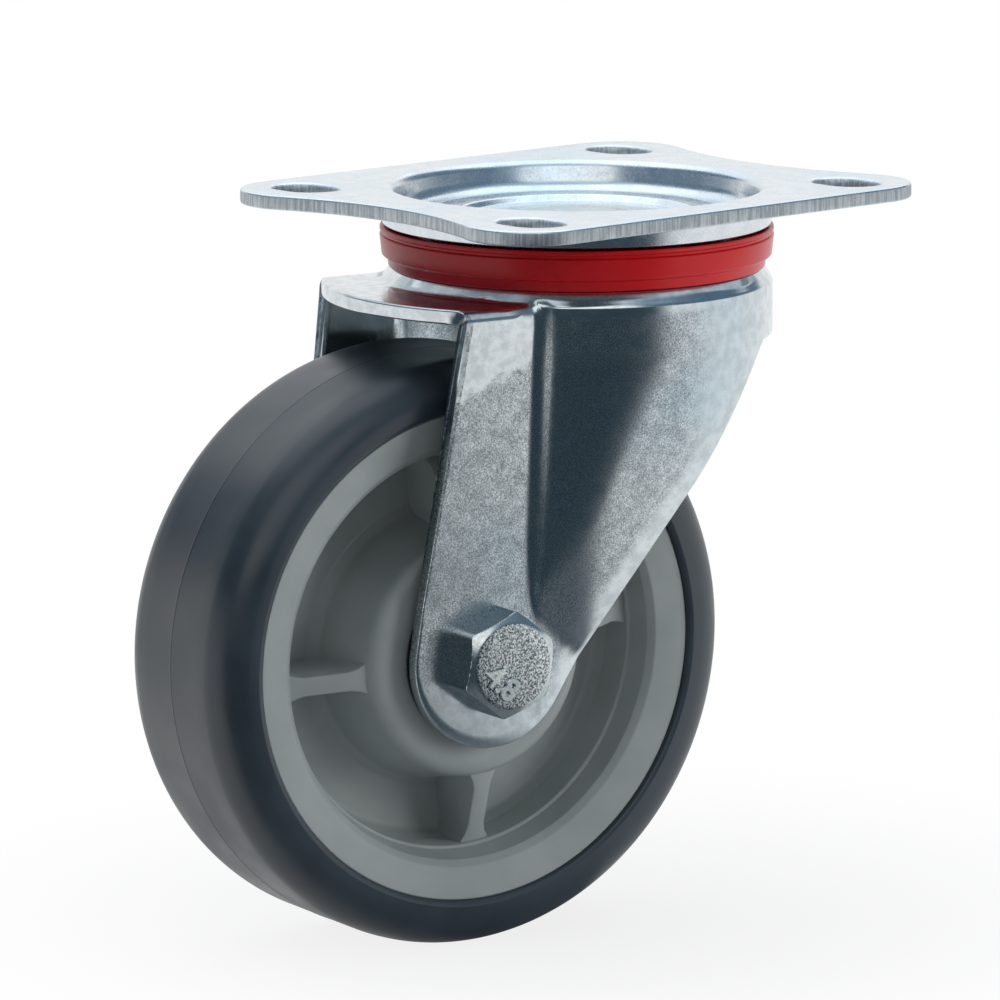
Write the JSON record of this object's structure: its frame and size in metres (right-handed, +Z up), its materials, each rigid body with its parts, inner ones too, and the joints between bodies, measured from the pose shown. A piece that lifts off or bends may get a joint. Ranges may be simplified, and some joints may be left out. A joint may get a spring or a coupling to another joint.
{
  "type": "swivel castor",
  "caption": "Plate-mounted swivel castor with a pressed zinc fork, a red dust seal, a grey moulded wheel centre and a soft grey tyre.",
  "frame": {"origin": "middle of the slot pattern on the top plate's upper face, on the swivel axis", "axes": "+Z up along the swivel axis, Y along the plate's long side, X along its short side and along the slots; the fork is turned 10.3 degrees from trailing straight along -Y"},
  "size_m": [0.0789, 0.1279, 0.1254],
  "materials": {
    "plate_zinc": "bright zinc plated sheet, lightly brushed",
    "fork_zinc": "zinc plated pressed sheet, fine speckle on the legs",
    "bolt_zinc": "zinc plated fastener",
    "race_steel": "plain pressed steel",
    "ball_steel": "ground and polished bearing steel",
    "cage_brass": "pressed brass",
    "seal_red": "smooth moulded red plastic",
    "nylon_insert": "natural nylon",
    "wheel_plastic": "grey moulded plastic with fine grain",
    "tyre_rubber": "soft blue-grey rubber, satin"
  },
  "bodies": {
    "mount_head": {"top_plate": "plate_zinc", "kingpin": "bolt_zinc", "lower_race": "race_steel"},
    "upper_ball_row": {"upper_balls": "ball_steel"},
    "lower_ball_row": {"lower_balls": "ball_steel"},
    "swivel_fork": {"fork": "fork_zinc", "dust_seal": "seal_red", "axle_bolt": "bolt_zinc", "nut_washer": "bolt_zinc", "axle_nut": "bolt_zinc", "nut_insert": "nylon_insert", "axle_sleeve": "race_steel", "left_spacer": "race_steel", "right_spacer": "race_steel", "left_inner_ring": "ball_steel", "right_inner_ring": "ball_steel"},
    "wheel": {"wheel_centre": "wheel_plastic", "tyre": "tyre_rubber", "left_outer_ring": "ball_steel", "right_outer_ring": "ball_steel", "left_shield": "race_steel", "right_shield": "race_steel"},
    "left_ball_set": {"left_bearing_balls": "ball_steel", "left_cage": "cage_brass"},
    "right_ball_set": {"right_bearing_balls": "ball_steel", "right_cage": "cage_brass"}
  },
  "joints": [
    {"name": "swivel", "type": "hinge", "parent": "mount_head", "child": "swivel_fork", "pos_m": [0, 0, 0], "axis": [0, 0, 1], "continuous": true},
    {"name": "upper_balls_roll", "type": "hinge", "parent": "mount_head", "child": "upper_ball_row", "pos_m": [0, 0, 0], "axis": [0, 0, 1], "continuous": true},
    {"name": "lower_balls_roll", "type": "hinge", "parent": "mount_head", "child": "lower_ball_row", "pos_m": [0, 0, 0], "axis": [0, 0, 1], "continuous": true},
    {"name": "wheel_spin", "type": "hinge", "parent": "swivel_fork", "child": "wheel", "pos_m": [-0.00531, -0.02922, -0.0754], "axis": [0.9839, -0.1788, 0], "continuous": true},
    {"name": "left_balls_roll", "type": "hinge", "parent": "swivel_fork", "child": "left_ball_set", "pos_m": [-0.00531, -0.02922, -0.0754], "axis": [0.9839, -0.1788, 0], "continuous": true},
    {"name": "right_balls_roll", "type": "hinge", "parent": "swivel_fork", "child": "right_ball_set", "pos_m": [-0.00531, -0.02922, -0.0754], "axis": [0.9839, -0.1788, 0], "continuous": true}
  ],
  "couplings": [
    {"joint": "upper_balls_roll", "follows": "swivel", "ratio": 0.5},
    {"joint": "lower_balls_roll", "follows": "swivel", "ratio": 0.5},
    {"joint": "left_balls_roll", "follows": "wheel_spin", "ratio": 0.619},
    {"joint": "right_balls_roll", "follows": "wheel_spin", "ratio": 0.619}
  ]
}
